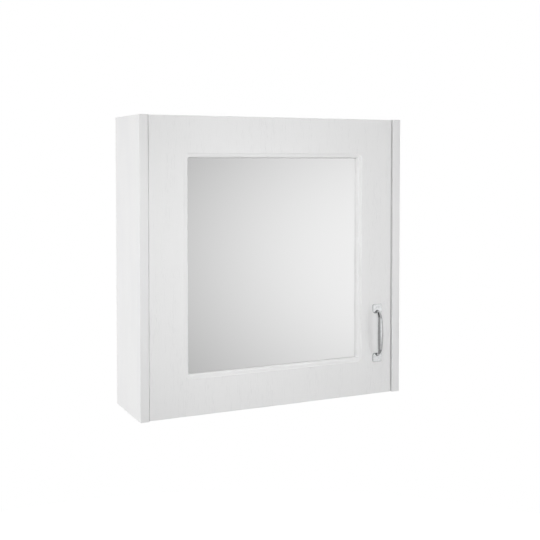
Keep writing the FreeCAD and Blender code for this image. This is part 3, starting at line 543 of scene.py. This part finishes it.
def soft_finish(name, colour, roughness, spark_size, depth, constants):
    """Moulded plastic or rubber with a fine spark texture."""
    made = Finish(name, constants)
    spark = made.noise(made.place(spark_size), detail=2.0)
    cloud = made.noise(made.place(MOULDED_CLOUDS), detail=2.0)
    darker = tuple(c * CLOUD_SHADE for c in colour)
    shade = made.tone(made.span(cloud, *BROAD_LEVELS), colour, darker)
    wander = made.span(cloud, *MIDDLE_LEVELS, *roughness)
    return made.set(base_color=shade, roughness=wander, normal=made.relief(spark, depth))


def shared_metal(name, *look):
    """The metal finish of that name, made the first time that it is asked for."""
    return bpy.data.materials.get(name) or metal_finish(name, *look)


def nickel():
    """Nickel plating, shared by the hinges and pegs."""
    colour = settings()[0].nickel
    return shared_metal("cabinet_nickel", colour, NICKEL_ROUGHNESS, NICKEL_SCRATCH, PLATING_DEPTH)


def zinc():
    """Zinc plating, shared by the screws, bolts and pins."""
    colour = settings()[0].zinc
    return shared_metal("cabinet_zinc", colour, ZINC_ROUGHNESS, ZINC_SCRATCH, PLATING_DEPTH)


def dress(material, *names):
    """Give the frame's nodes a finish."""
    for name in names:
        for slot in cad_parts[name].material_slots:
            slot.material = material


def solid_boxes(name):
    """The lowest and highest corners of each separate solid in a node of the frame."""
    shape = bmesh.new()
    shape.from_mesh(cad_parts[name].data)
    bmesh.ops.remove_doubles(shape, verts=shape.verts, dist=MERGE_DISTANCE)
    boxes = []
    seen = set()
    for first in shape.verts:
        if first in seen:
            continue
        seen.add(first)
        island = [first]
        for vert in island:
            others = [edge.other_vert(vert) for edge in vert.link_edges]
            fresh = [other for other in others if other not in seen]
            seen.update(fresh)
            island.extend(dict.fromkeys(fresh))
        sides = list(zip(*[vert.co for vert in island]))
        boxes.append((Vector([min(side) for side in sides]), Vector([max(side) for side in sides])))
    shape.free()
    return boxes


def turn(shape, outline):
    """Spin a half outline of radii and heights about Z."""
    verts = [shape.verts.new((radius, 0.0, height)) for radius, height in outline]
    edges = [shape.edges.new(pair) for pair in zip(verts, verts[1:])]
    bmesh.ops.spin(
        shape, geom=verts + edges, cent=(0, 0, 0), axis=(0, 0, 1),
        angle=math.tau, steps=SPIN_STEPS, use_merge=True,
    )
    bmesh.ops.remove_doubles(shape, verts=shape.verts, dist=MERGE_DISTANCE)
    bmesh.ops.recalc_face_normals(shape, faces=shape.faces)


def sink_cross(shape, radius, height, sizes):
    """Sink a cross recess into the top of a screw head."""
    half_span = radius * sizes.recess_span / 2
    half_width = radius * sizes.recess_width / 2
    for way in (Vector((1.0, 0.0, 0.0)), Vector((0.0, 1.0, 0.0))):
        for offset in (-half_span, -half_width, half_width, half_span):
            top = [face for face in shape.faces if face.calc_center_median().z > -height]
            parts = dict.fromkeys(part for face in top for part in (face, *face.edges, *face.verts))
            bmesh.ops.bisect_plane(
                shape, geom=list(parts), dist=MERGE_DISTANCE, plane_co=way * offset, plane_no=way
            )
    cross = []
    for face in shape.faces:
        centre = face.calc_center_median()
        near, far = sorted((abs(centre.x), abs(centre.y)))
        if centre.z > -height and near < half_width and far < half_span:
            cross.append(face)
    sunk = bmesh.ops.extrude_face_region(shape, geom=cross)["geom"]
    floor = [part for part in sunk if isinstance(part, bmesh.types.BMVert)]
    bmesh.ops.translate(shape, verts=floor, vec=(0, 0, -height * sizes.recess_depth))
    bmesh.ops.delete(shape, geom=cross, context="FACES")


def face_width(face):
    """About how broad a long face is."""
    return 2.0 * face.calc_area() / max(edge.calc_length() for edge in face.edges)


def shade_by_angle(shape):
    """Smooth shading, but for the sharp edges and the rims of broad flat faces."""
    for face in shape.faces:
        face.smooth = True
    for edge in shape.edges:
        broad = max(face_width(face) for face in edge.link_faces) > FLAT_WIDTH
        edge.smooth = edge.calc_face_angle(0.0) < (FLAT_ANGLE if broad else SHARP_ANGLE)


def moulding_place(inset, depth, glass_depth, sizes):
    """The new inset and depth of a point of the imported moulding, or None where it stays."""
    if depth < QUIRK_DEPTH - FACE_MARGIN:
        return None
    if depth > glass_depth - FACE_MARGIN:
        at_wall = inset > QUIRK_LEDGE + MOULDING_RADIUS - FACE_MARGIN
        return (sizes.lip_inset, depth) if at_wall else None
    if inset < QUIRK_LEDGE - FACE_MARGIN:
        return sizes.quirk_lean, depth
    across = (inset - QUIRK_LEDGE) / MOULDING_RADIUS
    down = (depth - QUIRK_DEPTH) / MOULDING_RADIUS
    new_inset = sizes.lip_inset - sizes.lip_width * (1.0 - across)
    return new_inset, QUIRK_DEPTH + sizes.ledge_fall + sizes.lip_height * down


def crisp_moulding(shape, sizes):
    """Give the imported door's moulding a broad ledge and a tight lip."""
    low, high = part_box("door_frame")
    centre = (low + high) / 2
    half_x = (high.x - low.x) / 2 - STILE_FACE
    half_z = (high.z - low.z) / 2 - STILE_FACE
    glass_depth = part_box("mirror_glass")[0].y - low.y
    shrink = (MOULDING_CORNER - sizes.lip_corner) / sizes.lip_inset
    for vert in shape.verts:
        offset = vert.co - centre
        past_x = abs(offset.x) - half_x + MOULDING_CORNER
        past_z = abs(offset.z) - half_z + MOULDING_CORNER
        out = Vector((max(past_x, 0.0), max(past_z, 0.0)))
        inset = MOULDING_CORNER - out.length
        if out.length == 0.0 or inset < -FACE_MARGIN:
            continue
        goal = moulding_place(inset, vert.co.y - low.y, glass_depth, sizes)
        if goal is None:
            continue
        new_inset, depth = goal
        corner = MOULDING_CORNER - new_inset * shrink
        way = out.normalized()
        vert.co.y = low.y + depth
        if past_x > -MERGE_DISTANCE:
            vert.co.x = centre.x + math.copysign(half_x - new_inset - corner * (1.0 - way.x), offset.x)
        if past_z > -MERGE_DISTANCE:
            vert.co.z = centre.z + math.copysign(half_z - new_inset - corner * (1.0 - way.y), offset.z)


def new_object(name, shape, material):
    """A linked object made of a shape, which is then let go."""
    mesh = bpy.data.meshes.new(name)
    shape.to_mesh(mesh)
    shape.free()
    mesh.materials.append(material)
    made = bpy.data.objects.new(name, mesh)
    bpy.context.scene.collection.objects.link(made)
    return made


def stand_in(name, make_one, facing, material, body):
    """Copies of one small turned piece at a node's solids, which they stand for."""
    boxes = solid_boxes(name)
    size = boxes[0][1] - boxes[0][0]
    length = size.dot(facing)
    radius = size.z / 2
    one = bmesh.new()
    make_one(one, radius, length)
    shade_by_angle(one)
    pattern = bpy.data.meshes.new(name + "_pattern")
    one.to_mesh(pattern)
    one.free()
    shape = bmesh.new()
    upright = facing.to_track_quat("Z", "Y").to_matrix().to_4x4()
    for low, high in boxes:
        top = (low + high) / 2 + facing * length / 2
        placed = len(shape.verts)
        shape.from_mesh(pattern)
        shape.verts.ensure_lookup_table()
        bmesh.ops.transform(shape, matrix=Matrix.Translation(top) @ upright, verts=shape.verts[placed:])
    bpy.data.meshes.remove(pattern)
    piece = new_object("turned_" + name, shape, material)
    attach(piece, body)
    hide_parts(name)
    return piece


class CABINET_OT_boards(bpy.types.Operator):
    """Face the carcass boards, rail and shelves in white"""

    bl_idname = "cabinet.boards"
    bl_label = "Carcass boards"

    def execute(self, context):
        shelf_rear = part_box("upper_shelf")[1].y
        dress(board_finish("white_board", AT_WALL), *BOARDS)
        dress(board_finish("white_shelf", shelf_rear), "upper_shelf", "lower_shelf")
        dress(board_finish("white_rail", NO_BARE_EDGE), "hanging_rail")
        return {"FINISHED"}


class CABINET_OT_back(bpy.types.Operator):
    """Lacquer the back board's front and leave its rear bare"""

    bl_idname = "cabinet.back"
    bl_label = "Back board"

    def execute(self, context):
        dress(back_board_finish(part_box("back_panel")[0].y), "back_panel")
        return {"FINISHED"}


class CABINET_OT_door(bpy.types.Operator):
    """Wrap the door frame in grained foil, with a crisp moulding round the mirror"""

    bl_idname = "cabinet.door"
    bl_label = "Door frame"

    def execute(self, context):
        foil = foil_finish(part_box("door_frame")[0].y)
        dress(foil, "door_frame")
        shape = bmesh.new()
        shape.from_mesh(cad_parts["door_frame"].data)
        bmesh.ops.remove_doubles(shape, verts=shape.verts, dist=MERGE_DISTANCE)
        crisp_moulding(shape, settings()[1])
        shade_by_angle(shape)
        piece = new_object("moulded_door_frame", shape, foil)
        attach(piece, DOOR)
        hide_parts("door_frame")
        return {"FINISHED"}


class CABINET_OT_mirror(bpy.types.Operator):
    """Silver the mirror and finish its backing and clips"""

    bl_idname = "cabinet.mirror"
    bl_label = "Mirror and backing"

    def execute(self, context):
        dress(mirror_finish(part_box("mirror_glass")[0].y), "mirror_glass")
        dress(backing_finish(), "mirror_backing")
        colour = settings()[0].plastic
        look = (PLASTIC_ROUGHNESS, PLASTIC_SPARK, PLASTIC_DEPTH, {"IOR": 1.47})
        dress(soft_finish("white_plastic", colour, *look), "backing_clips")
        return {"FINISHED"}


class CABINET_OT_pull(bpy.types.Operator):
    """Plate the pull in bright chrome"""

    bl_idname = "cabinet.pull"
    bl_label = "Pull handle"

    def execute(self, context):
        colour = settings()[0].chrome
        dress(metal_finish("chrome", colour, CHROME_ROUGHNESS, CHROME_SCRATCH, CHROME_DEPTH), "pull_handle")
        return {"FINISHED"}


class CABINET_OT_hinges(bpy.types.Operator):
    """Plate the hinges, their pins and rivets"""

    bl_idname = "cabinet.hinges"
    bl_label = "Hinges"

    def execute(self, context):
        for end in HINGES:
            dress(nickel(), *[f"{end}_hinge_{part}" for part in HINGE_PARTS])
        dress(nickel(), "claw_rivets")
        dress(zinc(), "hinge_pins")
        return {"FINISHED"}


class CABINET_OT_screws(bpy.types.Operator):
    """Turn zinc-plated screws with domed heads and cross recesses"""

    bl_idname = "cabinet.screws"
    bl_label = "Screws"

    def execute(self, context):
        sizes = settings()[1]
        for name, (body, facing, head_height, shank_share) in SCREWS.items():
            dress(zinc(), name)

            def screw(shape, radius, length):
                head = [(radius * out, head_height * up) for out, up in PAN_HEAD]
                shank = radius * shank_share
                point = min(length - head_height, shank)
                side = [(shank, -head_height), (shank, point - length)]
                tip = [(shank - point / 2, -length), (0.0, -length)]
                turn(shape, head + side + tip)
                sink_cross(shape, radius, head_height, sizes)

            piece = stand_in(name, screw, facing, zinc(), body)
        return {"FINISHED"}


class CABINET_OT_joints(bpy.types.Operator):
    """Finish the dowels, bolts, cams and shelf pegs"""

    bl_idname = "cabinet.joints"
    bl_label = "Board joints and pegs"

    def execute(self, context):
        dress(beech_finish(), "wood_dowels")
        dress(zinc(), "cam_bolts")
        look = (settings()[0].casting, CASTING_ROUGHNESS, CASTING_SCRATCH, CASTING_DEPTH)
        dress(metal_finish("zinc_alloy", *look), "cam_locks")
        dress(nickel(), "shelf_pins")
        return {"FINISHED"}


class CABINET_OT_buffers(bpy.types.Operator):
    """Dome the soft door buffers"""

    bl_idname = "cabinet.buffers"
    bl_label = "Door buffers"

    def execute(self, context):
        colour = settings()[0].rubber
        constants = {"IOR": 1.42, "Subsurface Weight": 0.25, "Subsurface Scale": 0.002}
        rubber = soft_finish("soft_rubber", colour, RUBBER_ROUGHNESS, RUBBER_SPARK, RUBBER_DEPTH, constants)
        dress(rubber, "door_buffers")

        def dome(shape, radius, length):
            outline = [(radius * out, length * up) for out, up in BUFFER_DOME]
            turn(shape, outline + [(0.0, -length)])

        piece = stand_in("door_buffers", dome, BACKWARD, rubber, DOOR)
        return {"FINISHED"}


def place_lamp(data, place, aim):
    """Put a lamp at a place and point it, unseen by the camera and by mirrors and metal."""
    lamp = bpy.data.objects.new(data.name, data)
    lamp.location = place
    lamp.rotation_euler = (Vector(aim) - Vector(place)).to_track_quat("-Z", "Y").to_euler()
    lamp.visible_camera = False
    lamp.visible_glossy = False
    bpy.context.scene.collection.objects.link(lamp)


def area_lamp(name, place, aim, size, power, spread=180.0):
    """A soft square lamp."""
    data = bpy.data.lights.new(name, "AREA")
    data.shape = "SQUARE"
    data.size = size
    data.energy = power
    data.spread = math.radians(spread)
    place_lamp(data, place, aim)


def spot_lamp(name, place, aim, radius, power, cone):
    """A soft round lamp that fades from the middle of its cone to the rim."""
    data = bpy.data.lights.new(name, "SPOT")
    data.shadow_soft_size = radius
    data.energy = power
    data.spot_size = math.radians(cone)
    data.spot_blend = 1.0
    place_lamp(data, place, aim)


def mirrored_rays(made, path):
    """1 for rays that metal and glass send on from the camera, else 0."""
    sent_on = made.calc("MAXIMUM", path.outputs["Is Glossy Ray"], path.outputs["Is Transmission Ray"])
    unscattered = made.calc("LESS_THAN", path.outputs["Diffuse Depth"], FIRST_BOUNCE)
    return made.calc("MULTIPLY", sent_on, unscattered)


def pale_floor(studio):
    """A round floor that the camera sees as white, but for the object's shadow."""
    shape = bmesh.new()
    bmesh.ops.create_circle(shape, cap_ends=True, segments=FLOOR_SEGMENTS, radius=studio.floor_radius)
    bmesh.ops.translate(shape, verts=shape.verts, vec=(0, 0, -studio.floor_drop))
    made = Finish("studio_floor", {"Roughness": FLOOR_ROUGHNESS, "Emission Color": (1.0, 1.0, 1.0, 1.0)})
    path = made.node("ShaderNodeLightPath", {}, {})
    mirrored = mirrored_rays(made, path)
    shade = made.mix(mirrored, studio.floor_shade, studio.floor_shade * studio.floor_mirrored)
    faint = made.calc("MULTIPLY", mirrored, studio.floor_mirrored)
    seen = made.calc("MAXIMUM", path.outputs["Is Camera Ray"], faint)
    glow = made.calc("MULTIPLY", seen, studio.floor_glow)
    floor = new_object("studio_floor", shape, made.set(base_color=shade, emission_strength=glow))


class WorldTree(Finish):
    """The same short calls on the world's nodes."""

    def __init__(self, world):
        world.use_nodes = True
        self.tree = world.node_tree
        self.tree.nodes.clear()


def soft_light(made, way, studio):
    """Light that is strongest from straight above, straight below and straight at the left."""
    above = made.calc("MULTIPLY", made.calc("MAXIMUM", way["Z"], 0.0), studio.light_above)
    below = made.calc("MULTIPLY", made.calc("MINIMUM", way["Z"], 0.0), -studio.light_below)
    left = made.calc("MULTIPLY", made.calc("MINIMUM", way["X"], 0.0), -studio.light_left)
    return made.calc("ADD", made.calc("ADD", above, below), left)


def mirrored_room(made, way, studio):
    """What mirrors and metal show: a glow at the right, an even room and its shaded left side."""
    front = made.calc("MULTIPLY", way["Y"], -1.0)
    azimuth = made.calc("ARCTAN2", way["X"], front)
    aside = made.calc("SUBTRACT", azimuth, studio.glow_azimuth)
    climb = made.calc("ADD", made.calc("ARCSINE", way["Z"], 0.0), studio.glow_dip)
    climb = made.calc("MULTIPLY", climb, studio.glow_flatness)
    squares = made.calc("ADD", made.calc("POWER", aside, 2.0), made.calc("POWER", climb, 2.0))
    distance = made.calc("SQRT", squares, 0.0)
    glow = made.span(distance, studio.glow_core, studio.glow_reach, studio.glow_peak, studio.glow_rim)
    lit = made.calc("MAXIMUM", glow, studio.room_level)
    left_end = made.span(azimuth, studio.shade_left - studio.shade_blur, studio.shade_left)
    right_end = made.span(azimuth, studio.shade_right, studio.shade_right + studio.shade_blur, 1.0, 0.0)
    shaded = made.calc("MULTIPLY", left_end, right_end)
    height = made.calc("ARCSINE", way["Z"], 0.0)
    upper = made.span(height, studio.band_edge, studio.band_end, studio.shade_band, studio.shade_level)
    lower = made.span(height, -studio.band_end, -studio.band_edge, studio.shade_low, studio.shade_band)
    return made.mix(shaded, lit, made.calc("MINIMUM", upper, lower))


def studio_world(studio):
    """White to the camera, a room to mirrors and metal, and soft light to all else."""
    world = bpy.data.worlds.new("studio_world")
    bpy.context.scene.world = world
    made = WorldTree(world)
    coords = made.node("ShaderNodeTexCoord", {}, {})
    way = made.node("ShaderNodeSeparateXYZ", {}, {"Vector": coords.outputs["Generated"]}).outputs
    path = made.node("ShaderNodeLightPath", {}, {})
    soft = soft_light(made, way, studio)
    room = mirrored_room(made, way, studio)
    front = made.calc("MAXIMUM", made.calc("MULTIPLY", way["Y"], -1.0), 0.0)
    handed_on = made.calc("MULTIPLY", front, studio.passed_on)
    passed_on = made.mix(path.outputs["Is Glossy Ray"], soft, handed_on)
    strength = made.mix(mirrored_rays(made, path), passed_on, room)
    shown = made.mix(path.outputs["Is Camera Ray"], strength, 1.0)
    background = made.node("ShaderNodeBackground", {}, {"Color": (1, 1, 1, 1), "Strength": shown})
    made.node("ShaderNodeOutputWorld", {}, {"Surface": background.outputs[0]})


def studio_camera(studio):
    """The camera at the photograph's place and angle."""
    data = bpy.data.cameras.new("studio_camera")
    data.sensor_width = SENSOR_WIDTH
    data.lens = studio.camera_lens
    data.shift_y = studio.camera_shift
    camera = bpy.data.objects.new("studio_camera", data)
    camera.location = studio.camera_place
    camera.rotation_euler = (math.pi / 2 - studio.camera_tilt, 0.0, -studio.camera_yaw)
    bpy.context.scene.collection.objects.link(camera)
    bpy.context.scene.camera = camera


class CABINET_OT_studio(bpy.types.Operator):
    """Set up the floor, lamps, surroundings and camera"""

    bl_idname = "cabinet.studio"
    bl_label = "Studio"

    def execute(self, context):
        studio = context.scene.cabinet_studio
        context.scene.view_settings.view_transform = "Standard"
        pale_floor(studio)
        studio_world(studio)
        spot_lamp(
            "door_spot", place=(-0.557, -1.41, 0.016), aim=(0.112, -0.159, -0.349),
            radius=0.25, power=31.0, cone=65.0,
        )
        area_lamp(
            "front_lamp", place=(-0.452, -1.9, -0.48), aim=(-0.086, -0.159, -0.131),
            size=0.7, power=0.6, spread=55.0,
        )
        area_lamp(
            "side_lamp", place=(-2.358, 0.154, -0.346), aim=(-0.3, -0.08, -0.24), size=0.8, power=23.8
        )
        area_lamp(
            "right_lamp", place=(1.39, -1.11, -1.0), aim=(0.241, -0.165, -0.408), size=0.25, power=4.6
        )
        area_lamp("top_lamp", place=(-0.3, -0.8, 1.3), aim=(0.0, -0.16, -0.1), size=0.8, power=6.2)
        area_lamp("far_side_lamp", place=(2.36, 0.3, -0.1), aim=(0.3, -0.08, -0.24), size=0.8, power=13.0)
        area_lamp("rear_lamp", place=(0.7, 2.3, 0.2), aim=(0.0, 0.0, -0.24), size=1.0, power=24.0)
        studio_camera(studio)
        return {"FINISHED"}


class CABINET_PT_sidebar(bpy.types.Panel):
    """Lists the cabinet's pieces and the studio"""

    bl_idname = "CABINET_PT_sidebar"
    bl_label = "Mirrored wall cabinet"
    bl_space_type = "VIEW_3D"
    bl_region_type = "UI"
    bl_category = "Cabinet"

    def draw(self, context):
        for operator in OPERATORS:
            self.layout.operator(operator.bl_idname)
        for group in GROUPS:
            column = self.layout.column()
            for name in getattr(context.scene, group).__annotations__:
                column.prop(getattr(context.scene, group), name)


OPERATORS = (
    CABINET_OT_boards,
    CABINET_OT_back,
    CABINET_OT_door,
    CABINET_OT_mirror,
    CABINET_OT_pull,
    CABINET_OT_hinges,
    CABINET_OT_screws,
    CABINET_OT_joints,
    CABINET_OT_buffers,
    CABINET_OT_studio,
)
GROUPS = {
    "cabinet_colours": CabinetColours,
    "cabinet_sizes": CabinetSizes,
    "cabinet_studio": CabinetStudio,
}
CLASSES = (*GROUPS.values(), *OPERATORS, CABINET_PT_sidebar)


def register():
    for cls in CLASSES:
        bpy.utils.register_class(cls)
    for name, group in GROUPS.items():
        setattr(bpy.types.Scene, name, bpy.props.PointerProperty(type=group))


def unregister():
    for name in GROUPS:
        delattr(bpy.types.Scene, name)
    for cls in reversed(CLASSES):
        bpy.utils.unregister_class(cls)


def main():
    """Dress every piece and set up the studio."""
    register()
    for operator in OPERATORS:
        group, name = operator.bl_idname.split(".")
        getattr(getattr(bpy.ops, group), name)()


if __name__ == "__main__":
    main()
